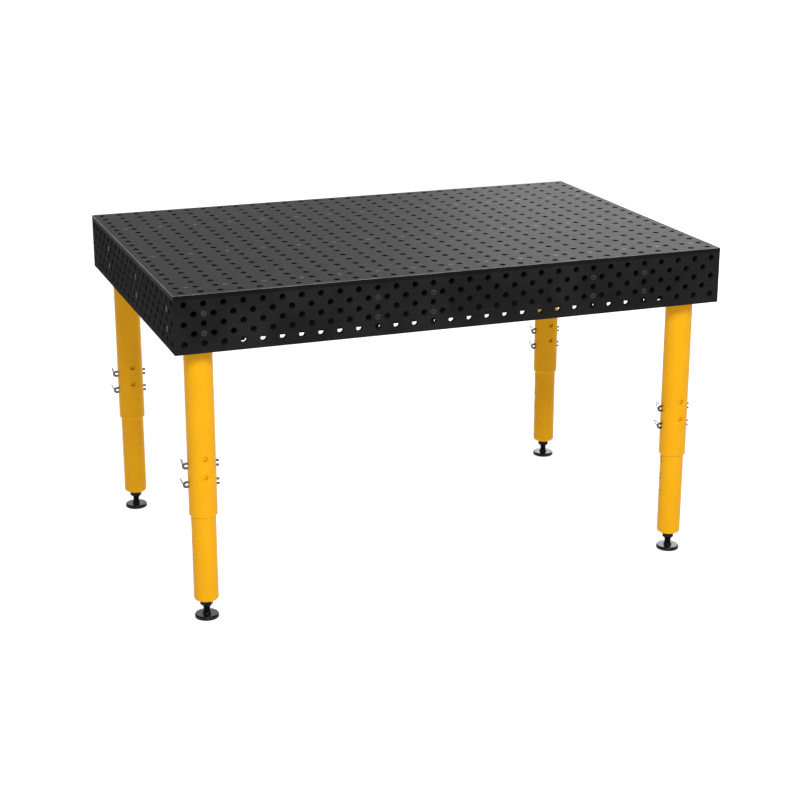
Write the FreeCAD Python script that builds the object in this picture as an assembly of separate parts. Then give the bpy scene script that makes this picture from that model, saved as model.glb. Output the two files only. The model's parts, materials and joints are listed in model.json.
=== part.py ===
import FreeCAD, Part
import math
import os

# A free-standing welding table: a perforated plate box on ribs, carried by four pinned telescopic legs.
# Frame: origin on the floor under the middle of the table, +X along the long side, -Y at the front, +Z up.
# All lengths are in millimetres.

# Table box
LENGTH = 1500.0
WIDTH = 1000.0
HEIGHT = 885.0
SKIRT = 150.0
PLATE = 12.0

# Hole grid of the modular clamping system
PITCH = 50.0
HOLE_RADIUS = 8.0
SIDE_ROWS = 5
EDGE_CHAMFER = 1.0

# Ribs under the top, measured from the left end and from the front face
CROSS_RIBS = [75.0, 525.0, 675.0, 1125.0, 1275.0]
LONG_RIBS = [75.0, 425.0, 775.0]
RIB = 12.0
RIB_DEPTH = 130.0
RIB_SLOT_GAP = 0.1
NOTCH_HALF = 13.0
NOTCH_DEPTH = 40.0
END_NOTCH = 26.0
END_NOTCH_HALF = 12.0
END_NOTCH_DEPTHS = [PITCH / 2, 3 * PITCH / 2]

# Countersunk screws: head radius, shank radius, length, key size
TOP_SCREW = (6.0, 2.95, 25.0, 4.0)
SIDE_SCREW = (8.0, 3.95, 32.0, 5.0)
SCREW_GAP = 0.05
TOP_SCREW_STEP = 100.0
SIDE_SCREW_DEPTHS = [50.0, 100.0]

# Legs
LEG_INSET = 75.0
PAD_SIZE = 168.0
PAD_TOP = 120.0
PAD_THICK = 10.0
PAD_GAP = 1.0
FLANGE_SIZE = 122.0
FLANGE_THICK = 8.0
FLANGE_BOLT_OFFSET = 48.0
BOLT_RADIUS = 4.95
BOLT_HEAD_FLATS = 17.0
BOLT_HEAD = 6.4
OUTER_RADIUS = 36.5
OUTER_WALL = 4.0
OUTER_LOW = 286.0
OUTER_CHAMFER = 2.0
INNER_RADIUS = 32.0
INNER_WALL = 4.0
INNER_LOW = 59.0
INNER_HIGH = 540.0

# Height setting: pairs of cross holes every 50 mm, two U-shaped pins in each leg
PIN_HEIGHTS = {"upper": 421.0, "lower": 371.0}
PIN_RADIUS = 3.0
PIN_GAP = 0.1
PRONG_OFFSET = 6.25
PRONG_TIP = 44.5
BEND_CENTRE = 42.25
INDEX_STEP = 50.0
INDEX_LOW = 171.0
INDEX_COUNT = 8
CLAMP_HOLE_RADIUS = 7.0
CLAMP_HOLE_RISE = 25.0

# Pull ring through the crown of each pin, and how far it leans out from upright
RING_RADIUS = 10.0
RING_WIRE = 1.0
RING_HOLE = 1.6
RING_SHIFT = 0.2
RING_LEAN = {"upper": 12.0, "lower": 25.0}

# Levelling foot
CAP_LOW = 51.0
CAP_ROUND = 7.0
SPIGOT_RADIUS = 27.8
SPIGOT_HIGH = 79.0
THREAD_RADIUS = 9.0
THREAD_GAP = 0.05
SPINDLE_HIGH = 121.0
NUT_LOW = 33.0
NUT_FLATS = 30.0
NUT_CHAMFER = 4.5
FOOT_RADIUS = 31.8
FOOT_THICK = 10.0
FOOT_ROUND = 4.0
FOOT_EDGE = 1.0
HUB_RADIUS = 10.5
HUB_HIGH = 17.0
HUB_FLARE = 3.0
SOCKET_LOW = 5.0

LEFT = -LENGTH / 2
FRONT = -WIDTH / 2
TOP_UNDER = HEIGHT - PLATE
SKIRT_LOW = HEIGHT - SKIRT
RIB_LOW = TOP_UNDER - RIB_DEPTH
RIB_HALF_WAY = TOP_UNDER - RIB_DEPTH / 2
LEGS = {
    "front_left": (LEFT + LEG_INSET, FRONT + LEG_INSET),
    "front_right": (-LEFT - LEG_INSET, FRONT + LEG_INSET),
    "rear_left": (LEFT + LEG_INSET, -FRONT - LEG_INSET),
    "rear_right": (-LEFT - LEG_INSET, -FRONT - LEG_INSET),
}

UP = FreeCAD.Vector(0, 0, 1)
ALONG_X = FreeCAD.Vector(1, 0, 0)
ALONG_Y = FreeCAD.Vector(0, 1, 0)


def point(x, y, z):
    return FreeCAD.Vector(x, y, z)


def box(low, high):
    """A block from its lowest corner to its highest."""
    size = high - low
    return Part.makeBox(size.x, size.y, size.z, low)


def turned(edges, centre):
    """A solid of revolution about a vertical axis, from an outline drawn in the XZ plane at the origin."""
    face = Part.Face(Part.Wire(edges))
    solid = face.revolve(point(0, 0, 0), UP, 360)
    solid.translate(centre)
    return solid


def outline(corners):
    """Straight edges round a closed list of (radius, height) corners."""
    points = [point(r, 0, z) for r, z in corners]
    return [Part.LineSegment(a, b).toShape() for a, b in zip(points, points[1:] + points[:1])]


def ease(radius):
    """How far the middle of a quarter round lies in from the corner it rounds."""
    return radius * (1 - math.sqrt(0.5))


def hexagon(flats, height, centre, direction=UP):
    """A hexagonal bar, by its size across flats, along a direction."""
    reach = flats / math.sqrt(3)
    corners = []
    for n in range(7):
        angle = math.radians(60 * n)
        corners.append(point(reach * math.cos(angle), reach * math.sin(angle), 0))
    bar = Part.Face(Part.makePolygon(corners)).extrude(point(0, 0, height))
    turn = FreeCAD.Rotation(UP, direction)
    bar.Placement = FreeCAD.Placement(centre, turn)
    return bar


def perforated(corner, along, across, thick, holes):
    """A plate swept by the vector thick from a rectangle, with round through holes."""
    normal = along.cross(across)
    ring = [corner, corner + along, corner + along + across, corner + across, corner]
    wires = [Part.makePolygon(ring)]
    for hole in holes:
        circle = Part.Circle(hole, normal, HOLE_RADIUS)
        wires.append(Part.Wire(circle.toShape()))
    face = Part.Face(wires, "Part::FaceMakerBullseye")
    return face.extrude(thick)


def grid(length):
    """Distances of the holes of a full row along a side."""
    return [PITCH / 2 + PITCH * n for n in range(int(length / PITCH))]


def staggered(length):
    """Distances along a side and depths below the top of the holes in a side plate, row by row."""
    spots = []
    for row in range(SIDE_ROWS):
        depth = PITCH / 2 * (row + 1)
        shift = PITCH / 2 * (row % 2)
        spots += [(d + shift, depth) for d in grid(length - shift)]
    return spots


def screw(place, inward, size):
    """A countersunk socket screw, its head flush at a point of a face, going inward."""
    head, shank, length, key = size
    cone = Part.makeCone(head, shank, head - shank, place, inward)
    body = Part.makeCylinder(shank, length, place, inward)
    socket = hexagon(key, head - shank, place, inward)
    return cone.fuse(body).removeSplitter().cut(socket)


def screw_hole(place, inward, size):
    """The seat and the bore that a countersunk screw sits in."""
    head, shank, length, _ = size
    cone = Part.makeCone(head + SCREW_GAP, shank + SCREW_GAP, head - shank, place, inward)
    body = Part.makeCylinder(shank + SCREW_GAP, length + SCREW_GAP, place, inward)
    return cone.fuse(body)


def top_screw_places():
    places = []
    for y in LONG_RIBS:
        for n in range(int(LENGTH / TOP_SCREW_STEP)):
            x = TOP_SCREW_STEP / 2 + TOP_SCREW_STEP * n
            places.append((point(LEFT + x, FRONT + y, HEIGHT), -UP))
    return places


def side_screw_places():
    """Where each side screw's head lies, and the way it goes in, for the four sides."""
    places = {"front": [], "rear": [], "left": [], "right": []}
    for depth in SIDE_SCREW_DEPTHS:
        z = HEIGHT - depth
        for x in CROSS_RIBS:
            places["front"].append((point(LEFT + x, FRONT, z), ALONG_Y))
            places["rear"].append((point(LEFT + x, -FRONT, z), -ALONG_Y))
        for y in LONG_RIBS:
            places["left"].append((point(LEFT, FRONT + y, z), ALONG_X))
            places["right"].append((point(-LEFT, FRONT + y, z), -ALONG_X))
    return places


def top_plate():
    corner = point(LEFT, FRONT, TOP_UNDER)
    holes = [corner + point(x, y, 0) for x in grid(LENGTH) for y in grid(WIDTH)]
    plate = perforated(corner, ALONG_X * LENGTH, ALONG_Y * WIDTH, UP * PLATE, holes)
    rim = [e for e in plate.Edges if e.BoundBox.ZMin > HEIGHT - 1 and e.Length > 2 * PITCH]
    plate = plate.makeChamfer(EDGE_CHAMFER, rim)
    return plate.cut([screw_hole(p, d, TOP_SCREW) for p, d in top_screw_places()])


def side_plate(side):
    """One of the four skirt plates; the end plates fit between the front and rear ones."""
    tall = UP * (SKIRT - PLATE)
    if side in ("front", "rear"):
        y = FRONT if side == "front" else -FRONT - PLATE
        corner = point(LEFT, y, SKIRT_LOW)
        holes = [point(LEFT + d, y, HEIGHT - depth) for d, depth in staggered(LENGTH)]
        plate = perforated(corner, ALONG_X * LENGTH, tall, ALONG_Y * PLATE, holes)
    else:
        x = LEFT if side == "left" else -LEFT - PLATE
        corner = point(x, FRONT + PLATE, SKIRT_LOW)
        holes = [point(x, FRONT + d, HEIGHT - depth) for d, depth in staggered(WIDTH)]
        span = ALONG_Y * (WIDTH - 2 * PLATE)
        plate = perforated(corner, span, tall, ALONG_X * PLATE, holes)
    return plate.cut([screw_hole(p, d, SIDE_SCREW) for p, d in side_screw_places()[side]])


def rib_blank(low, high, holes):
    """A rib along X: notched under every hole above it and behind the upper side holes at its ends."""
    half = RIB / 2
    blank = box(point(low, -half, RIB_LOW), point(high, half, TOP_UNDER))
    cuts = []
    for x in holes:
        start = max(x - NOTCH_HALF, low)
        stop = min(x + NOTCH_HALF, high)
        cuts.append(box(point(start, -half, TOP_UNDER - NOTCH_DEPTH), point(stop, half, TOP_UNDER)))
    for edge, inner in ((low, low + END_NOTCH), (high - END_NOTCH, high)):
        for depth in END_NOTCH_DEPTHS:
            notch_low = HEIGHT - depth - END_NOTCH_HALF
            notch_high = HEIGHT - depth + END_NOTCH_HALF
            cuts.append(box(point(edge, -half, notch_low), point(inner, half, notch_high)))
    return blank.cut(cuts)


def corner_relief():
    """The space of the four corner pads, which the ribs over them are cut back from."""
    reach = PLATE + PAD_SIZE + PAD_GAP
    high = HEIGHT - PAD_TOP
    spaces = []
    for x in (LEFT, -LEFT - reach):
        for y in (FRONT, -FRONT - reach):
            spaces.append(box(point(x, y, RIB_LOW - PAD_GAP), point(x + reach, y + reach, high)))
    return spaces


def slot(x, y, low, high, along):
    """The halving slot where two ribs cross."""
    wide = RIB / 2 + RIB_SLOT_GAP
    deep = RIB
    dx, dy = (wide, deep) if along == "x" else (deep, wide)
    return box(point(x - dx, y - dy, low), point(x + dx, y + dy, high))


def long_rib(y):
    rib = rib_blank(LEFT + PLATE, -LEFT - PLATE, [LEFT + x for x in grid(LENGTH)])
    rib.translate(point(0, FRONT + y, 0))
    cuts = [slot(LEFT + x, FRONT + y, RIB_LOW, RIB_HALF_WAY, "x") for x in CROSS_RIBS]
    places = side_screw_places()
    for spot, way in top_screw_places() + places["left"] + places["right"]:
        if abs(spot.y - FRONT - y) < RIB:
            cuts.append(screw_hole(spot, way, TOP_SCREW if way == -UP else SIDE_SCREW))
    return rib.cut(cuts + corner_relief())


def cross_rib(x):
    rib = rib_blank(FRONT + PLATE, -FRONT - PLATE, [FRONT + y for y in grid(WIDTH)])
    rib.rotate(point(0, 0, 0), UP, 90)
    rib.translate(point(LEFT + x, 0, 0))
    cuts = [slot(LEFT + x, FRONT + y, RIB_HALF_WAY, TOP_UNDER, "y") for y in LONG_RIBS]
    places = side_screw_places()
    for spot, way in places["front"] + places["rear"]:
        if abs(spot.x - LEFT - x) < RIB:
            cuts.append(screw_hole(spot, way, SIDE_SCREW))
    return rib.cut(cuts + corner_relief())


def flange_bolt_spots(x, y):
    reach = FLANGE_BOLT_OFFSET
    return [(x + i * reach, y + j * reach) for i in (-1, 1) for j in (-1, 1)]


def corner_pad(x, y):
    """The thick pad welded into a corner of the skirt, tapped for the leg's four bolts."""
    toward_x = 1 if x < 0 else -1
    toward_y = 1 if y < 0 else -1
    centre_x = toward_x * (LEFT + PLATE + PAD_SIZE / 2)
    centre_y = toward_y * (FRONT + PLATE + PAD_SIZE / 2)
    half = PAD_SIZE / 2
    high = HEIGHT - PAD_TOP
    pad = box(
        point(centre_x - half, centre_y - half, high - PAD_THICK),
        point(centre_x + half, centre_y + half, high),
    )
    taps = [bolt_bore(a, b) for a, b in flange_bolt_spots(x, y)]
    return pad.cut(taps)


def bolt_bore(x, y):
    low = point(x, y, flange_low())
    return Part.makeCylinder(BOLT_RADIUS + SCREW_GAP, FLANGE_THICK + PAD_THICK, low)


def flange_low():
    return HEIGHT - PAD_TOP - PAD_THICK - FLANGE_THICK


def leg_flange(x, y):
    half = FLANGE_SIZE / 2
    low = flange_low()
    plate = box(point(x - half, y - half, low), point(x + half, y + half, low + FLANGE_THICK))
    upright = [e for e in plate.Edges if abs(e.Length - FLANGE_THICK) < 0.01]
    plate = plate.makeFillet(FLANGE_THICK, upright)
    return plate.cut([bolt_bore(a, b) for a, b in flange_bolt_spots(x, y)])


def flange_bolt(x, y):
    low = flange_low()
    shank = Part.makeCylinder(BOLT_RADIUS, FLANGE_THICK + PAD_THICK, point(x, y, low))
    head = hexagon(BOLT_HEAD_FLATS, BOLT_HEAD, point(x, y, low - BOLT_HEAD))
    return shank.fuse(head)


def cross_holes(x, y, height, radius, reach):
    """The two holes, one over the other, that a pin's prongs go through."""
    start = x - reach
    levels = (height - PRONG_OFFSET, height + PRONG_OFFSET)
    return [Part.makeCylinder(radius, 2 * reach, point(start, y, z), ALONG_X) for z in levels]


def outer_tube(x, y):
    inside = OUTER_RADIUS - OUTER_WALL
    corners = [
        (inside, OUTER_LOW),
        (OUTER_RADIUS - OUTER_CHAMFER, OUTER_LOW),
        (OUTER_RADIUS, OUTER_LOW + OUTER_CHAMFER),
        (OUTER_RADIUS, flange_low()),
        (inside, flange_low()),
    ]
    tube = turned(outline(corners), point(x, y, 0))
    cuts = []
    for height in PIN_HEIGHTS.values():
        cuts += cross_holes(x, y, height, PIN_RADIUS + PIN_GAP, OUTER_RADIUS + 1)
        eye = point(x, y, height + CLAMP_HOLE_RISE)
        cuts.append(Part.makeCylinder(CLAMP_HOLE_RADIUS, OUTER_RADIUS + 1, eye, -ALONG_Y))
    return tube.cut(cuts)


def inner_tube(x, y):
    inside = INNER_RADIUS - INNER_WALL
    corners = [
        (inside, INNER_LOW),
        (INNER_RADIUS, INNER_LOW),
        (INNER_RADIUS, INNER_HIGH),
        (inside, INNER_HIGH),
    ]
    tube = turned(outline(corners), point(x, y, 0))
    cuts = []
    for n in range(INDEX_COUNT):
        height = INDEX_LOW + INDEX_STEP * n
        cuts += cross_holes(x, y, height, PIN_RADIUS + PIN_GAP, INNER_RADIUS + 1)
    return tube.cut(cuts)


def end_cap(x, y):
    """The plug welded into the foot of the inner tube, with a rounded rim and a tapped hole."""
    middle = ease(CAP_ROUND)
    rim_low = point(INNER_RADIUS - CAP_ROUND, 0, CAP_LOW)
    rim_mid = point(INNER_RADIUS - middle, 0, CAP_LOW + middle)
    rim_high = point(INNER_RADIUS, 0, CAP_LOW + CAP_ROUND)
    corners = [
        rim_high,
        point(INNER_RADIUS, 0, INNER_LOW),
        point(SPIGOT_RADIUS, 0, INNER_LOW),
        point(SPIGOT_RADIUS, 0, SPIGOT_HIGH),
        point(THREAD_RADIUS, 0, SPIGOT_HIGH),
        point(THREAD_RADIUS, 0, CAP_LOW),
        rim_low,
    ]
    edges = [Part.Arc(rim_low, rim_mid, rim_high).toShape()]
    edges += [Part.LineSegment(a, b).toShape() for a, b in zip(corners, corners[1:])]
    return turned(edges, point(x, y, 0))


def lock_pin(x, y, height):
    """A rod bent into a U lying on its side, drilled through its crown for the pull ring."""
    prongs = []
    for z in (height - PRONG_OFFSET, height + PRONG_OFFSET):
        start = point(x - BEND_CENTRE, y, z)
        prongs.append(Part.makeCylinder(PIN_RADIUS, BEND_CENTRE + PRONG_TIP, start, ALONG_X))
    centre = point(x - BEND_CENTRE, y, height)
    bend = Part.makeTorus(PRONG_OFFSET, PIN_RADIUS, centre, ALONG_Y)
    reach = PRONG_OFFSET + PIN_RADIUS + 1
    away = box(centre - point(0, reach, reach), centre + point(reach, reach, reach))
    pin = bend.cut(away).fuse(prongs)
    eye = point(x - BEND_CENTRE - PRONG_OFFSET, y - reach, height)
    return pin.cut(Part.makeCylinder(RING_HOLE, 2 * reach, eye, ALONG_Y))


def pull_ring(x, y, height, lean):
    eye = point(x - BEND_CENTRE - PRONG_OFFSET, y, height)
    ring = Part.makeTorus(RING_RADIUS, RING_WIRE, eye + UP * (RING_RADIUS - RING_SHIFT), ALONG_X)
    ring.rotate(eye, -ALONG_Y, lean)
    return ring


def lock_nut(x, y):
    bar = hexagon(NUT_FLATS, CAP_LOW - NUT_LOW, point(0, 0, NUT_LOW))
    reach = NUT_FLATS / math.sqrt(3)
    corners = [
        (THREAD_RADIUS, NUT_LOW),
        (reach - NUT_CHAMFER, NUT_LOW),
        (reach, NUT_LOW + NUT_CHAMFER),
        (reach, CAP_LOW),
        (THREAD_RADIUS, CAP_LOW),
    ]
    nut = bar.common(turned(outline(corners), point(0, 0, 0)))
    nut.translate(point(x, y, 0))
    return nut


def foot_spindle(x, y):
    height = SPINDLE_HIGH - SOCKET_LOW
    return Part.makeCylinder(THREAD_RADIUS - THREAD_GAP, height, point(x, y, SOCKET_LOW))


def foot_pad(x, y):
    """A round pad with a soft rim and a flared hub, bored for the spindle."""
    rim = FOOT_RADIUS - FOOT_ROUND
    rounding = ease(FOOT_ROUND)
    flare = ease(HUB_FLARE)
    low_in = point(FOOT_RADIUS - FOOT_EDGE, 0, 0)
    low_out = point(FOOT_RADIUS, 0, FOOT_EDGE)
    rim_out = point(FOOT_RADIUS, 0, FOOT_THICK - FOOT_ROUND)
    rim_mid = point(FOOT_RADIUS - rounding, 0, FOOT_THICK - rounding)
    rim_in = point(rim, 0, FOOT_THICK)
    hub_out = point(HUB_RADIUS + HUB_FLARE, 0, FOOT_THICK)
    hub_mid = point(HUB_RADIUS + flare, 0, FOOT_THICK + flare)
    hub_in = point(HUB_RADIUS, 0, FOOT_THICK + HUB_FLARE)
    hub_top = point(HUB_RADIUS, 0, HUB_HIGH)
    corners = [
        hub_top,
        point(THREAD_RADIUS, 0, HUB_HIGH),
        point(THREAD_RADIUS, 0, SOCKET_LOW),
        point(0, 0, SOCKET_LOW),
        point(0, 0, 0),
        low_in,
        low_out,
        rim_out,
    ]
    edges = [Part.LineSegment(a, b).toShape() for a, b in zip(corners, corners[1:])]
    edges.append(Part.Arc(rim_out, rim_mid, rim_in).toShape())
    edges.append(Part.LineSegment(rim_in, hub_out).toShape())
    edges.append(Part.Arc(hub_out, hub_mid, hub_in).toShape())
    edges.append(Part.LineSegment(hub_in, hub_top).toShape())
    return turned(edges, point(x, y, 0))


def table_nodes():
    nodes = {"top_plate": top_plate()}
    for side in ("front", "rear", "left", "right"):
        nodes[side + "_side_plate"] = side_plate(side)
    for n, x in enumerate(CROSS_RIBS, 1):
        nodes["cross_rib_" + str(n)] = cross_rib(x)
    for name, y in zip(("front", "middle", "rear"), LONG_RIBS):
        nodes["long_rib_" + name] = long_rib(y)
    sides = [s for places in side_screw_places().values() for s in places]
    spots = list(LEGS.values())
    bolts = [s for x, y in spots for s in flange_bolt_spots(x, y)]
    nodes["top_screws"] = Part.makeCompound([screw(p, d, TOP_SCREW) for p, d in top_screw_places()])
    nodes["side_screws"] = Part.makeCompound([screw(p, d, SIDE_SCREW) for p, d in sides])
    nodes["corner_pads"] = Part.makeCompound([corner_pad(x, y) for x, y in spots])
    nodes["leg_flanges"] = Part.makeCompound([leg_flange(x, y) for x, y in spots])
    nodes["flange_bolts"] = Part.makeCompound([flange_bolt(x, y) for x, y in bolts])
    return nodes


def leg_nodes(leg, x, y):
    nodes = {
        "outer_tube_" + leg: outer_tube(x, y),
        "inner_tube_" + leg: inner_tube(x, y),
        "end_cap_" + leg: end_cap(x, y),
        "lock_nut_" + leg: lock_nut(x, y),
        "foot_spindle_" + leg: foot_spindle(x, y),
        "foot_pad_" + leg: foot_pad(x, y),
    }
    for level, height in PIN_HEIGHTS.items():
        nodes[level + "_pin_" + leg] = lock_pin(x, y, height)
        nodes[level + "_ring_" + leg] = pull_ring(x, y, height, RING_LEAN[level])
    return nodes


def main():
    nodes = table_nodes()
    for leg, (x, y) in LEGS.items():
        nodes.update(leg_nodes(leg, x, y))
    os.makedirs("parts", exist_ok=True)
    for name, shape in nodes.items():
        shape.exportStep("parts/" + name + ".step")
        print(name, len(shape.Solids), "solids, valid", shape.isValid(), "volume", round(shape.Volume))


main()
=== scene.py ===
import json
import math

import bmesh
import bpy
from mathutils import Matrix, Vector

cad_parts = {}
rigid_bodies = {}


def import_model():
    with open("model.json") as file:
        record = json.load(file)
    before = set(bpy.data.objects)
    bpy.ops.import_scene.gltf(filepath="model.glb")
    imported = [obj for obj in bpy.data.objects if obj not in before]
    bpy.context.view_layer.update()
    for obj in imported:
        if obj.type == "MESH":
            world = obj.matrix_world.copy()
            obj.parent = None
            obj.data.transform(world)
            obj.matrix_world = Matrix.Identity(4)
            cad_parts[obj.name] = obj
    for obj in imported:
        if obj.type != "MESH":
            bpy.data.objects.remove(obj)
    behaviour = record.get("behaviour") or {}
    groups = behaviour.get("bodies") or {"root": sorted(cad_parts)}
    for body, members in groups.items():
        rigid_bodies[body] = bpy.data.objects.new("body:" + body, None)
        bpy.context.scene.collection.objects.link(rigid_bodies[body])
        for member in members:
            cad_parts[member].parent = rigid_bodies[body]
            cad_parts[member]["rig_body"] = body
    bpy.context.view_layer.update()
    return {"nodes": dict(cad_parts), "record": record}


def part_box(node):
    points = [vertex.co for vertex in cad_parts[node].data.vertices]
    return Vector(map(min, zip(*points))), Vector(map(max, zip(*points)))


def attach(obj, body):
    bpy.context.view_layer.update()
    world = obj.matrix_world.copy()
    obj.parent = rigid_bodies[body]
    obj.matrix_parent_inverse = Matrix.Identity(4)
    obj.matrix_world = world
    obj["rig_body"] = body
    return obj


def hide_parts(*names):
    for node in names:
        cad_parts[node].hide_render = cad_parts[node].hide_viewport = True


# The looks of a perforated welding table: finely edged plates, real screws, threads and finishes
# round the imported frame. All lengths are in metres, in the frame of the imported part.

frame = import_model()

# Hole grid and edges. A cell under WHOLE_CELL of the full width is one that the plate's edge cuts.
CELL = 0.025
WHOLE_CELL = 0.99
HOLE_RADIUS = 0.008
HOLE_EDGE = 0.0005
HOLE_STEPS = 32
TOP_EDGE = 0.001
SIDE_EDGE = 0.0002

# Screws: head radius, shank radius, length, key size
TOP_SCREW = (0.006, 0.00295, 0.025, 0.004)
SIDE_SCREW = (0.008, 0.00395, 0.032, 0.005)
SCREW_GAP = 0.00005
SCREW_EDGE = 0.00025
SCREW_STEPS = 48
TOP_SCREW_EVERY = 4
SIDE_SCREW_ROWS = (2, 4)

# Their sockets: the walls' share of the head's depth, and the blunt point's share of the key size
SOCKET_WALL = 0.85
SOCKET_POINT = 0.1

# Flange bolts. A head's flat face is a disc, its radius a share of the flats, with a ring inside it.
BOLT_FLATS = 0.017
BOLT_HEAD = 0.0064
BOLT_RADIUS = 0.00495
BOLT_FACE = 0.47
BOLT_FACE_RING = 0.9
BOLT_RISE = 0.0018
BOLT_RISE_STEPS = 4
BOLT_EDGE = 0.0003
BOLT_OFFSET = 0.048

# Spindle thread. Its shape is (share of the pitch, share of the depth) from crest to root, and it
# starts THREAD_SPARE turns outside each end, to be cut off square.
THREAD_PITCH = 0.0025
THREAD_DEPTH = 0.0014
THREAD_STEPS = 40
THREAD_SPARE = 1.5
THREAD_SHAPE = ((0.0, 0.0), (0.16, 0.0), (0.5, 1.0), (0.66, 1.0))

# Meshes: the digits that tell two corners apart, and the angles that are still shaded smooth
CORNER_DIGITS = 7
SMOOTH_TO = 30
THREAD_SMOOTH_TO = 40

# Finishes. Most of a noise lies between the two values of NOISE_SPAN.
NOISE_SPAN = (0.3, 0.7)
TONE_SPAN = (0.35, 0.65)
GRIND_LINES = (25, 800, 800)
METAL_GRAIN = 900
FINE_RELIEF = 0.00001
PEEL_RELIEF = 0.00003
NYLON_RELIEF = 0.00004
# How far the painted shade in a piece's own holes and inner corners reaches
PAINTED_SHADE_REACH = 0.006

# Stage
FLOOR_REACH = 40
FLOOR_SHADE = 0.5
FLOOR_GLOW = 0.85
BRIGHT_WAY = (0.42, 0.87, 0.26)
BRIGHT_FROM = 0.5
ROOM_LIGHT = (0.08, 1.9)

# Lamps: place, size, power. The sheen light is aimed at the height of the table top.
KEY_LIGHT = ((-0.8, -4.9, 4.4), 1.8, 290)
KEY_TARGET = (0, 0, 0.5)
SHEEN_LIGHT = ((2.9, 3.4, 1.9), 2.6, 85)
SHEEN_TARGET = (0.1, 0)

# Camera, with its tilt and turn in degrees
EYE_PLACE = (-1.6972, -4.6376)
EYE_OVER_TOP = 1.093
EYE_TILT = 72.157
EYE_TURN = -20.304
LENS = 81.14
SENSOR_WIDTH = 36

LEGS = ("front_left", "front_right", "rear_left", "rear_right")
SIDES = ("front", "rear", "left", "right")
X = Vector((1, 0, 0))
Y = Vector((0, 1, 0))
Z = Vector((0, 0, 1))


# ---------------------------------------------------------------- materials

def node_material(name):
    """A new material, its node tree and its surface shader."""
    material = bpy.data.materials.new(name)
    material.use_nodes = True
    shader = material.node_tree.nodes["Principled BSDF"]
    return material, material.node_tree, shader


def noise(tree, scale, stretch=(1, 1, 1), detail=3.0):
    """Noise that is fixed to the object, with features about 1/scale metres wide."""
    place = tree.nodes.new("ShaderNodeTexCoord")
    mapping = tree.nodes.new("ShaderNodeMapping")
    mapping.inputs["Scale"].default_value = stretch
    texture = tree.nodes.new("ShaderNodeTexNoise")
    texture.inputs["Scale"].default_value = scale
    texture.inputs["Detail"].default_value = detail
    tree.links.new(place.outputs["Object"], mapping.inputs["Vector"])
    tree.links.new(mapping.outputs["Vector"], texture.inputs["Vector"])
    return texture.outputs["Fac"]


def spread(tree, value, low, high):
    """A value within NOISE_SPAN stretched to run from low to high."""
    ranged = tree.nodes.new("ShaderNodeMapRange")
    ranged.inputs["From Min"].default_value = NOISE_SPAN[0]
    ranged.inputs["From Max"].default_value = NOISE_SPAN[1]
    ranged.inputs["To Min"].default_value = low
    ranged.inputs["To Max"].default_value = high
    tree.links.new(value, ranged.inputs["Value"])
    return ranged.outputs["Result"]


def two_tones(tree, value, dark, light):
    ramp = tree.nodes.new("ShaderNodeValToRGB")
    for stop, position, colour in zip(ramp.color_ramp.elements, TONE_SPAN, (dark, light)):
        stop.position = position
        stop.color = (*colour, 1)
    tree.links.new(value, ramp.inputs["Fac"])
    return ramp.outputs["Color"]


def bumps(tree, shader, value, height):
    bump = tree.nodes.new("ShaderNodeBump")
    bump.inputs["Distance"].default_value = height
    tree.links.new(value, bump.inputs["Height"])
    tree.links.new(bump.outputs["Normal"], shader.inputs["Normal"])


def black_steel(name, dark, light, rough, gloss):
    """Nitrided plate: near black, satin, with faint grinding lines and a cloudy gloss."""
    material, tree, shader = node_material(name)
    clouds = noise(tree, 9, detail=5)
    lines = noise(tree, 1, stretch=GRIND_LINES, detail=4)
    tree.links.new(two_tones(tree, clouds, dark, light), shader.inputs["Base Color"])
    tree.links.new(spread(tree, lines, *rough), shader.inputs["Roughness"])
    shader.inputs["Specular IOR Level"].default_value = gloss
    bumps(tree, shader, lines, FINE_RELIEF)
    return material


def painted_crevice_shade(tree, colour, dark):
    """A colour that goes dark in a piece's own holes and inner corners: painted shade where the
    piece occludes itself.
    """
    open_air = tree.nodes.new("ShaderNodeAmbientOcclusion")
    open_air.samples = 8
    open_air.only_local = True
    open_air.inputs["Distance"].default_value = PAINTED_SHADE_REACH
    mix = tree.nodes.new("ShaderNodeMix")
    mix.data_type = "RGBA"
    mix.inputs["A"].default_value = (*dark, 1)
    tree.links.new(spread(tree, open_air.outputs["AO"], 0.0, 1.0), mix.inputs["Factor"])
    tree.links.new(colour, mix.inputs["B"])
    return mix.outputs["Result"]


def yellow_paint():
    """Powder coat: amber yellow, semi-gloss, with a fine orange peel and painted shade in its holes.
    """
    material, tree, shader = node_material("amber_powder_coat")
    clouds = noise(tree, 14, detail=4)
    peel = noise(tree, 520, detail=1)
    colour = two_tones(tree, clouds, (0.78, 0.365, 0.002), (0.82, 0.385, 0.0025))
    # Painted shade: the paint goes dark brown in the piece's own holes and inner corners
    shaded_colour = painted_crevice_shade(tree, colour, (0.09, 0.035, 0.001))
    tree.links.new(shaded_colour, shader.inputs["Base Color"])
    tree.links.new(spread(tree, peel, 0.34, 0.46), shader.inputs["Roughness"])
    shader.inputs["Specular IOR Level"].default_value = 0.08
    shader.inputs["Coat Weight"].default_value = 0.03
    shader.inputs["Coat Roughness"].default_value = 0.2
    bumps(tree, shader, peel, PEEL_RELIEF)
    return material


def bare_metal(name, dark, light, rough):
    """Plated or phosphated steel with a fine grain."""
    material, tree, shader = node_material(name)
    specks = noise(tree, METAL_GRAIN, detail=4)
    tree.links.new(two_tones(tree, specks, dark, light), shader.inputs["Base Color"])
    tree.links.new(spread(tree, specks, *rough), shader.inputs["Roughness"])
    shader.inputs["Metallic"].default_value = 1.0
    bumps(tree, shader, specks, FINE_RELIEF)
    return material


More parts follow.
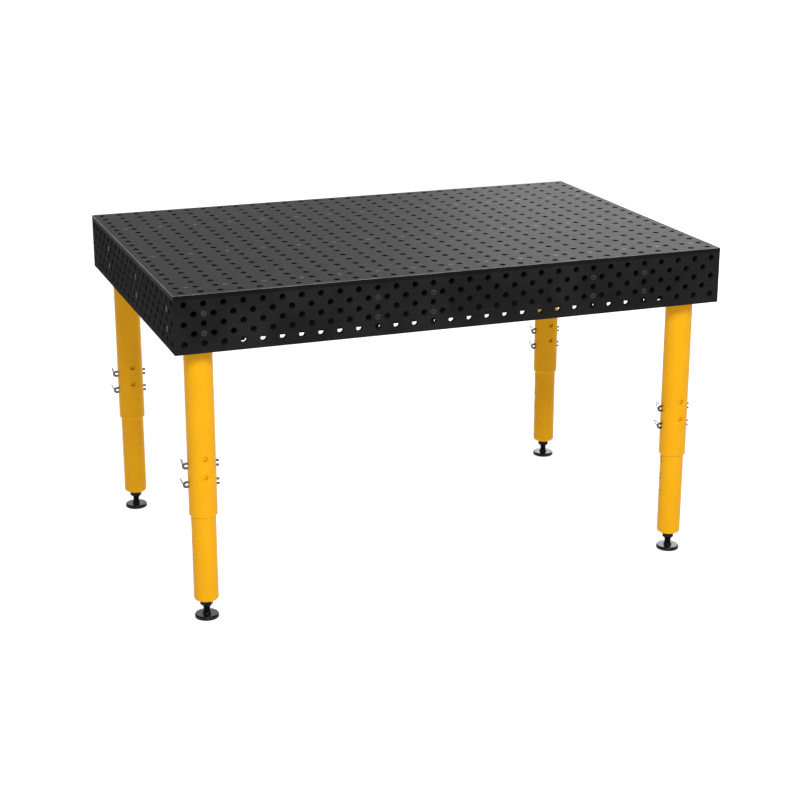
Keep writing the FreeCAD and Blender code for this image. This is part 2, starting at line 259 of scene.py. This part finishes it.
def black_nylon():
    material, tree, shader = node_material("black_nylon")
    grain = noise(tree, 1400, detail=2)
    clouds = noise(tree, 60, detail=3)
    colour = two_tones(tree, clouds, (0.002, 0.002, 0.0025), (0.005, 0.005, 0.0055))
    tree.links.new(colour, shader.inputs["Base Color"])
    tree.links.new(spread(tree, grain, 0.3, 0.45), shader.inputs["Roughness"])
    shader.inputs["Specular IOR Level"].default_value = 0.25
    bumps(tree, shader, grain, NYLON_RELIEF)
    return material


def grey(level):
    """A very slightly cool grey."""
    return (level, level, level * 1.03)


MATERIALS = {
    "black_steel": black_steel("nitrided_plate", grey(0.005), grey(0.009), (0.46, 0.60), 0.035),
    # The side plates' copy of the plate finish: matt, with a lighter base than the top's that paints
    # light onto the side faces
    "skirt_steel_painted_light": black_steel("matt_skirt_plate_painted_light", grey(0.011), grey(0.017), (0.6, 0.75), 0.01),
    # Light grey on the top plate's outer chamfer: edge wear and a painted highlight along the edge
    "worn_edge": black_steel("plate_edge_wear_and_highlight", grey(0.16), grey(0.30), (0.3, 0.45), 0.5),
    "yellow_paint": yellow_paint(),
    "screw_steel": bare_metal("phosphated_screw", grey(0.03), grey(0.06), (0.4, 0.6)),
    "pin_steel": bare_metal("zinc_plated_rod", grey(0.06), grey(0.12), (0.26, 0.40)),
    "ring_steel": bare_metal("bright_ring_wire", grey(0.14), grey(0.24), (0.2, 0.32)),
    "black_zinc": bare_metal("black_zinc", grey(0.008), grey(0.018), (0.25, 0.4)),
    "black_plastic": black_nylon(),
}


# ------------------------------------------------------------- mesh helpers

class Shell:
    """Faces that share their corners wherever they meet."""

    def __init__(self):
        self.places = []
        self.numbers = {}
        self.faces = []
        self.finishes = []

    def corner(self, place):
        key = tuple(round(part, CORNER_DIGITS) for part in place)
        if key not in self.numbers:
            self.numbers[key] = len(self.places)
            self.places.append(key)
        return self.numbers[key]

    def face(self, places, finish=0):
        self.faces.append([self.corner(place) for place in places])
        self.finishes.append(finish)

    def band(self, ring, next_ring, finish=0):
        """Four-sided faces between two rings of as many points."""
        for n in range(len(ring)):
            self.face([ring[n - 1], ring[n], next_ring[n], next_ring[n - 1]], finish)

    def stack(self, rings, finish=0):
        """A closed solid through a list of rings, with a flat face at each end."""
        for ring, next_ring in zip(rings, rings[1:]):
            self.band(ring, next_ring, finish)
        self.face(rings[0], finish)
        self.face(rings[-1], finish)


def body_of(node):
    return frame["nodes"][node]["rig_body"]


def slot_of(node):
    for part in frame["record"]["subparts"]:
        if part["node"] == node:
            return part["material_slot"]
    raise KeyError(node)


def make_piece(shell, node, finishes=None, smooth_to=SMOOTH_TO):
    """A piece that stands for one CAD node, rides on its body and takes its slot."""
    mesh = bpy.data.meshes.new("fine_" + node)
    mesh.from_pydata(shell.places, [], shell.faces)
    for finish in finishes or [slot_of(node)]:
        mesh.materials.append(MATERIALS[finish])
    mesh.polygons.foreach_set("material_index", shell.finishes)
    work = bmesh.new()
    work.from_mesh(mesh)
    bmesh.ops.recalc_face_normals(work, faces=work.faces)
    work.to_mesh(mesh)
    work.free()
    mesh.shade_smooth()
    mesh.set_sharp_from_angle(angle=math.radians(smooth_to))
    piece = bpy.data.objects.new("fine_" + node, mesh)
    bpy.context.scene.collection.objects.link(piece)
    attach(piece, body_of(node))
    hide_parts(node)
    return piece


# ------------------------------------------------------- perforated plates

TABLE_LOW = Vector((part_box("left_side_plate")[0].x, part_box("front_side_plate")[0].y, 0))
TABLE_HIGH = Vector(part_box("top_plate")[1])


def middle(node):
    low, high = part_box(node)
    return (low + high) / 2


def cells_from(value, start):
    """The number of the grid cell that a place is in the middle of."""
    return round((value - start) / CELL)


CROSS_COLUMNS = [cells_from(middle("cross_rib_%d" % n).x, TABLE_LOW.x) for n in range(1, 6)]
LONG_COLUMNS = [
    cells_from(middle("long_rib_" + place).y, TABLE_LOW.y) for place in ("front", "middle", "rear")
]


def top_kind(column, row):
    if column % 2 and row % 2:
        return "hole"
    if row in LONG_COLUMNS and column % TOP_SCREW_EVERY == 2:
        return "screw"
    return None


def side_kind(columns):
    """The test for a side plate, whose screws are over the ribs at these columns."""
    def kind(column, row):
        if column % 2 == row % 2:
            return "hole"
        if row % 2 == 0 and column in columns:
            return "screw"
        return None
    return kind


def grid_lines(low, high):
    """The plate's two edges and the lines between grid cells inside them."""
    lines = [CELL * (n + 0.5) for n in range(round(high / CELL) + 1)]
    return [low, *[line for line in lines if low + SIDE_EDGE < line < high - SIDE_EDGE], high]


def inset(lines, amount):
    return [lines[0] + amount, *lines[1:-1], lines[-1] - amount]


def circle(place, u, v, radius, depth):
    """Points round a hole, the first of them toward the cell's first corner."""
    points = []
    for n in range(HOLE_STEPS):
        angle = math.pi / 4 + 2 * math.pi * n / HOLE_STEPS
        points.append(place(u + radius * math.cos(angle), v + radius * math.sin(angle), depth))
    return points


def hole_profile(kind, thick, screw):
    """(radius, depth) steps of a through hole or of a screw's seat."""
    if kind == "hole":
        wide = HOLE_RADIUS + HOLE_EDGE
        return [(wide, 0), (HOLE_RADIUS, HOLE_EDGE), (HOLE_RADIUS, thick - HOLE_EDGE), (wide, thick)]
    head, shank, _, _ = screw
    head += SCREW_GAP
    shank += SCREW_GAP
    return [(head, 0), (shank, head - shank), (shank, thick)]


def pierced_cell(shell, place, us, vs, profile):
    """One grid cell with a hole through it: its two faces and the wall of the hole."""
    u, v = sum(us) / 2, sum(vs) / 2
    rings = [circle(place, u, v, radius, depth) for radius, depth in profile]
    for ring, next_ring in zip(rings, rings[1:]):
        shell.band(ring, next_ring)
    quarter = HOLE_STEPS // 4
    for ring, depth in ((rings[0], profile[0][1]), (rings[-1], profile[-1][1])):
        spots = [(us[1], vs[1]), (us[0], vs[1]), (us[0], vs[0]), (us[1], vs[0])]
        corners = [place(a, b, depth) for a, b in spots]
        closed = ring + ring[:1]
        for n in range(4):
            arc = closed[n * quarter:(n + 1) * quarter + 1]
            shell.face([corners[n], corners[(n + 1) % 4], *reversed(arc)])


def plain_cell(shell, place, us, vs, depth):
    corners = ((us[0], vs[0]), (us[1], vs[0]), (us[1], vs[1]), (us[0], vs[1]))
    shell.face([place(u, v, depth) for u, v in corners])


def plate_rim(shell, place, us, vs, thick, edge, finish):
    """The chamfered edge all the way round a plate."""
    levels = [(edge, 0), (0, edge), (0, thick - SIDE_EDGE), (SIDE_EDGE, thick)]
    for step, ((cut, depth), (next_cut, next_depth)) in enumerate(zip(levels, levels[1:])):
        chosen = finish if step == 0 else 0
        here = (inset(us, cut), inset(vs, cut))
        there = (inset(us, next_cut), inset(vs, next_cut))
        for end in (0, -1):
            for n in range(len(us) - 1):
                shell.face([
                    place(here[0][n], here[1][end], depth),
                    place(here[0][n + 1], here[1][end], depth),
                    place(there[0][n + 1], there[1][end], next_depth),
                    place(there[0][n], there[1][end], next_depth),
                ], chosen)
            for n in range(len(vs) - 1):
                shell.face([
                    place(here[0][end], here[1][n], depth),
                    place(here[0][end], here[1][n + 1], depth),
                    place(there[0][end], there[1][n + 1], next_depth),
                    place(there[0][end], there[1][n], next_depth),
                ], chosen)


def perforated_plate(node, origin, axes, u_span, v_span, thick, kind, screw, edge, finishes):
    """A plate on the table's grid: u along it, v across it, and depth inward from its outer face.

    The last of its finishes is on the outer chamfer."""
    def place(u, v, depth):
        return origin + axes[0] * u + axes[1] * v + axes[2] * depth
    shell = Shell()
    us, vs = grid_lines(*u_span), grid_lines(*v_span)
    outer = (inset(us, edge), inset(vs, edge))
    inner = (inset(us, SIDE_EDGE), inset(vs, SIDE_EDGE))
    for i in range(len(us) - 1):
        for j in range(len(vs) - 1):
            square = min(us[i + 1] - us[i], vs[j + 1] - vs[j]) > CELL * WHOLE_CELL
            column = round((us[i] + us[i + 1]) / 2 / CELL)
            row = round((vs[j] + vs[j + 1]) / 2 / CELL)
            found = kind(column, row) if square else None
            if found:
                profile = hole_profile(found, thick, screw)
                pierced_cell(shell, place, us[i:i + 2], vs[j:j + 2], profile)
            else:
                plain_cell(shell, place, outer[0][i:i + 2], outer[1][j:j + 2], 0)
                plain_cell(shell, place, inner[0][i:i + 2], inner[1][j:j + 2], thick)
    plate_rim(shell, place, us, vs, thick, edge, len(finishes) - 1)
    make_piece(shell, node, finishes)


def top_plate():
    low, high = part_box("top_plate")
    size = high - low
    origin = Vector((low.x, low.y, high.z))
    axes = (X, Y, -Z)
    spans = ((0, size.x), (0, size.y))
    perforated_plate(
        "top_plate", origin, axes, *spans, size.z, top_kind, TOP_SCREW, TOP_EDGE,
        # The outer chamfer gets the light edge finish: edge wear and a painted highlight
        ["black_steel", "worn_edge"],
    )


def side_plate(side):
    node = side + "_side_plate"
    low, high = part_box(node)
    depths = (TABLE_HIGH.z - high.z, TABLE_HIGH.z - low.z)
    if side in ("front", "rear"):
        origin = Vector((TABLE_LOW.x, low.y if side == "front" else high.y, TABLE_HIGH.z))
        axes = (X, -Z, Y if side == "front" else -Y)
        span = (low.x - TABLE_LOW.x, high.x - TABLE_LOW.x)
        thick, columns = high.y - low.y, CROSS_COLUMNS
    else:
        origin = Vector((low.x if side == "left" else high.x, TABLE_LOW.y, TABLE_HIGH.z))
        axes = (Y, -Z, X if side == "left" else -X)
        span = (low.y - TABLE_LOW.y, high.y - TABLE_LOW.y)
        thick, columns = high.x - low.x, LONG_COLUMNS
    perforated_plate(
        node, origin, axes, span, depths, thick, side_kind(columns), SIDE_SCREW, SIDE_EDGE,
        # The side plates take the lighter copy of the plate finish: painted light on the side faces
        ["skirt_steel_painted_light"],
    )


# ------------------------------------------------------- screws and bolts

def side_axes(way):
    """Two directions square to a way in."""
    first = X if abs(way.x) < 0.5 else Y
    return first, way.cross(first)


def ring_at(spot, way, depth, reach):
    """Points round a line through spot, reach(angle) away from it, at a depth along it."""
    first, second = side_axes(way)
    centre = spot + way * depth
    points = []
    for n in range(SCREW_STEPS):
        angle = 2 * math.pi * n / SCREW_STEPS
        points.append(centre + (first * math.cos(angle) + second * math.sin(angle)) * reach(angle))
    return points


def round_reach(radius):
    return lambda angle: radius


def hex_reach(flats):
    """How far a hexagon's outline is from its middle, by direction."""
    sixth = math.pi / 3
    return lambda angle: flats / 2 / math.cos((angle + sixth / 2) % sixth - sixth / 2)


def socket_screw(shell, spot, way, size):
    """A countersunk screw with a hexagon socket, its head flush at spot."""
    head, shank, length, key = size
    deep = head - shank
    steps = [
        (length, round_reach(shank - SCREW_EDGE)),
        (length - SCREW_EDGE, round_reach(shank)),
        (deep, round_reach(shank)),
        (SCREW_EDGE, round_reach(head - SCREW_EDGE)),
        (0, round_reach(head - 2 * SCREW_EDGE)),
        (0, round_reach(key / math.sqrt(3) + SCREW_EDGE)),
        (SCREW_EDGE, hex_reach(key)),
        (deep * SOCKET_WALL, hex_reach(key)),
        (deep, round_reach(key * SOCKET_POINT)),
    ]
    shell.stack([ring_at(spot, way, depth, reach) for depth, reach in steps])


def screw_rows(kind, columns, rows):
    return [(i, j) for i in columns for j in rows if kind(i, j) == "screw"]


def top_screws():
    shell = Shell()
    low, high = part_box("top_plate")
    for i, j in screw_rows(top_kind, range(round((high.x - low.x) / CELL)), LONG_COLUMNS):
        spot = Vector((low.x + i * CELL, low.y + j * CELL, high.z))
        socket_screw(shell, spot, -Z, TOP_SCREW)
    make_piece(shell, "top_screws")


def side_screws():
    shell = Shell()
    size = TABLE_HIGH - TABLE_LOW
    for i, j in screw_rows(side_kind(CROSS_COLUMNS), CROSS_COLUMNS, SIDE_SCREW_ROWS):
        for y, way in ((0, Y), (size.y, -Y)):
            spot = Vector((TABLE_LOW.x + i * CELL, TABLE_LOW.y + y, TABLE_HIGH.z - j * CELL))
            socket_screw(shell, spot, way, SIDE_SCREW)
    for i, j in screw_rows(side_kind(LONG_COLUMNS), LONG_COLUMNS, SIDE_SCREW_ROWS):
        for x, way in ((0, X), (size.x, -X)):
            spot = Vector((TABLE_LOW.x + x, TABLE_LOW.y + i * CELL, TABLE_HIGH.z - j * CELL))
            socket_screw(shell, spot, way, SIDE_SCREW)
    make_piece(shell, "side_screws")


def hex_bolt(shell, spot, way, length):
    """A hexagon bolt whose head's outer face is at spot, going along way."""
    hexagon = hex_reach(BOLT_FLATS)
    face = BOLT_FLATS * BOLT_FACE
    steps = [(0, round_reach(face * BOLT_FACE_RING)), (0, round_reach(face))]
    for n in range(1, BOLT_RISE_STEPS + 1):
        wide = face + (BOLT_FLATS / math.sqrt(3) - face) * n / BOLT_RISE_STEPS
        depth = BOLT_RISE * n / BOLT_RISE_STEPS
        steps.append((depth, lambda angle, wide=wide: min(wide, hexagon(angle))))
    steps += [
        (BOLT_HEAD - BOLT_EDGE, hexagon),
        (BOLT_HEAD, lambda angle: hexagon(angle) - BOLT_EDGE),
        (BOLT_HEAD, round_reach(BOLT_RADIUS)),
        (BOLT_HEAD + length, round_reach(BOLT_RADIUS)),
    ]
    shell.stack([ring_at(spot, way, depth, reach) for depth, reach in steps])


def flange_bolts():
    shell = Shell()
    low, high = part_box("flange_bolts")
    for leg in LEGS:
        centre = middle("outer_tube_" + leg)
        for i in (-1, 1):
            for j in (-1, 1):
                spot = Vector((centre.x + i * BOLT_OFFSET, centre.y + j * BOLT_OFFSET, low.z))
                hex_bolt(shell, spot, Z, high.z - low.z - BOLT_HEAD)
    make_piece(shell, "flange_bolts")


# ------------------------------------------------------------------ thread

def spindle(leg):
    """The foot's threaded rod, with a real helical thread from end to end."""
    node = "foot_spindle_" + leg
    low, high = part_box(node)
    centre, crest = (low + high) / 2, (high.x - low.x) / 2
    turns = int((high.z - low.z) / THREAD_PITCH) + round(2 * THREAD_SPARE)
    shell = Shell()
    strands = []
    for turn in range(turns):
        for share, deep in THREAD_SHAPE:
            strand = []
            for n in range(THREAD_STEPS + 1):
                angle = 2 * math.pi * n / THREAD_STEPS
                z = low.z + THREAD_PITCH * (turn - THREAD_SPARE + share + n / THREAD_STEPS)
                reach = crest - THREAD_DEPTH * deep
                strand.append(Vector((
                    centre.x + reach * math.cos(angle), centre.y + reach * math.sin(angle), z
                )))
            strands.append(strand)
    for strand, upper in zip(strands, strands[1:]):
        for n in range(THREAD_STEPS):
            shell.face([strand[n], strand[n + 1], upper[n + 1], upper[n]])
    piece = make_piece(shell, node, smooth_to=THREAD_SMOOTH_TO)
    cut_flat(piece.data, centre, low.z, high.z)


def cut_flat(mesh, centre, low, high):
    """Cuts a mesh off square at two heights and closes the ends."""
    work = bmesh.new()
    work.from_mesh(mesh)
    for z, away in ((low, -Z), (high, Z)):
        parts = [*work.verts, *work.edges, *work.faces]
        spot = Vector((centre.x, centre.y, z))
        bmesh.ops.bisect_plane(work, geom=parts, plane_co=spot, plane_no=away, clear_outer=True)
    bmesh.ops.holes_fill(work, edges=[edge for edge in work.edges if edge.is_boundary])
    bmesh.ops.recalc_face_normals(work, faces=work.faces)
    work.to_mesh(mesh)
    work.free()


# ------------------------------------------------------------- carried over

def dress_cad_nodes():
    """Every CAD node gets its slot's finish; the pull rings are brighter wire than their pins."""
    for node, piece in frame["nodes"].items():
        finish = "ring_steel" if "_ring_" in node else slot_of(node)
        piece.data.materials.clear()
        piece.data.materials.append(MATERIALS[finish])


# ------------------------------------------------------------------- stage

def pale_floor():
    """A white floor, partly self-lit, that can be looked through from below."""
    material, tree, shader = node_material("pale_floor")
    shader.inputs["Base Color"].default_value = (FLOOR_SHADE, FLOOR_SHADE, FLOOR_SHADE, 1)
    shader.inputs["Roughness"].default_value = 0.9
    shader.inputs["Specular IOR Level"].default_value = 0.0
    shader.inputs["Emission Color"].default_value = (1, 1, 1, 1)
    shader.inputs["Emission Strength"].default_value = FLOOR_GLOW
    clear = tree.nodes.new("ShaderNodeBsdfTransparent")
    side = tree.nodes.new("ShaderNodeNewGeometry")
    mix = tree.nodes.new("ShaderNodeMixShader")
    tree.links.new(side.outputs["Backfacing"], mix.inputs[0])
    tree.links.new(shader.outputs[0], mix.inputs[1])
    tree.links.new(clear.outputs[0], mix.inputs[2])
    tree.links.new(mix.outputs[0], tree.nodes["Material Output"].inputs["Surface"])
    return material


def floor():
    """One floor in four quarters. Each goes with its foot, so none sinks in when a leg is longer."""
    material = pale_floor()
    for leg in LEGS:
        pad = "foot_pad_" + leg
        across = math.copysign(FLOOR_REACH, middle(pad).x)
        along = math.copysign(FLOOR_REACH, middle(pad).y)
        corners = [(0, 0, 0), (across, 0, 0), (across, along, 0), (0, along, 0)]
        if across * along < 0:
            corners.reverse()
        mesh = bpy.data.meshes.new("floor_" + leg)
        mesh.from_pydata(corners, [], [(0, 1, 2, 3)])
        mesh.materials.append(material)
        quarter = bpy.data.objects.new("floor_" + leg, mesh)
        bpy.context.scene.collection.objects.link(quarter)
        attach(quarter, body_of(pad))


def soft_light(name, target, place, size, power):
    light = bpy.data.lights.new(name, "AREA")
    light.shape = "SQUARE"
    light.size = size
    light.energy = power
    lamp = bpy.data.objects.new(name, light)
    bpy.context.scene.collection.objects.link(lamp)
    lamp.visible_camera = False
    lamp.location = place
    way = Vector(target) - Vector(place)
    lamp.rotation_euler = way.to_track_quat("-Z", "Y").to_euler()


def room_light():
    """A room that is dim at the front and bright behind the table to its right, on white."""
    world = bpy.data.worlds.new("studio")
    world.use_nodes = True
    tree = world.node_tree
    place = tree.nodes.new("ShaderNodeTexCoord")
    along = tree.nodes.new("ShaderNodeVectorMath")
    along.operation = "DOT_PRODUCT"
    along.inputs[1].default_value = BRIGHT_WAY
    ranged = tree.nodes.new("ShaderNodeMapRange")
    ranged.interpolation_type = "SMOOTHSTEP"
    ranged.inputs["From Min"].default_value = BRIGHT_FROM
    ranged.inputs["To Min"].default_value = ROOM_LIGHT[0]
    ranged.inputs["To Max"].default_value = ROOM_LIGHT[1]
    tree.links.new(place.outputs["Generated"], along.inputs[0])
    tree.links.new(along.outputs["Value"], ranged.inputs["Value"])
    room = tree.nodes["Background"]
    room.inputs["Color"].default_value = (1, 1, 1, 1)
    tree.links.new(ranged.outputs["Result"], room.inputs["Strength"])
    backdrop = tree.nodes.new("ShaderNodeBackground")
    backdrop.inputs["Color"].default_value = (1, 1, 1, 1)
    seen = tree.nodes.new("ShaderNodeLightPath")
    mix = tree.nodes.new("ShaderNodeMixShader")
    tree.links.new(seen.outputs["Is Camera Ray"], mix.inputs[0])
    tree.links.new(room.outputs[0], mix.inputs[1])
    tree.links.new(backdrop.outputs[0], mix.inputs[2])
    tree.links.new(mix.outputs[0], tree.nodes["World Output"].inputs["Surface"])
    bpy.context.scene.world = world


def studio():
    room_light()
    soft_light("key_light", KEY_TARGET, *KEY_LIGHT)
    soft_light("sheen_light", (*SHEEN_TARGET, TABLE_HIGH.z), *SHEEN_LIGHT)
    bpy.context.scene.view_settings.view_transform = "Standard"


def camera():
    data = bpy.data.cameras.new("camera")
    data.sensor_width = SENSOR_WIDTH
    data.lens = LENS
    eye = bpy.data.objects.new("camera", data)
    bpy.context.scene.collection.objects.link(eye)
    eye.location = (*EYE_PLACE, TABLE_HIGH.z + EYE_OVER_TOP)
    eye.rotation_euler = (math.radians(EYE_TILT), 0, math.radians(EYE_TURN))
    bpy.context.scene.camera = eye


def main():
    dress_cad_nodes()
    top_plate()
    for side in SIDES:
        side_plate(side)
    top_screws()
    side_screws()
    flange_bolts()
    for leg in LEGS:
        spindle(leg)
    floor()
    studio()
    camera()


main()
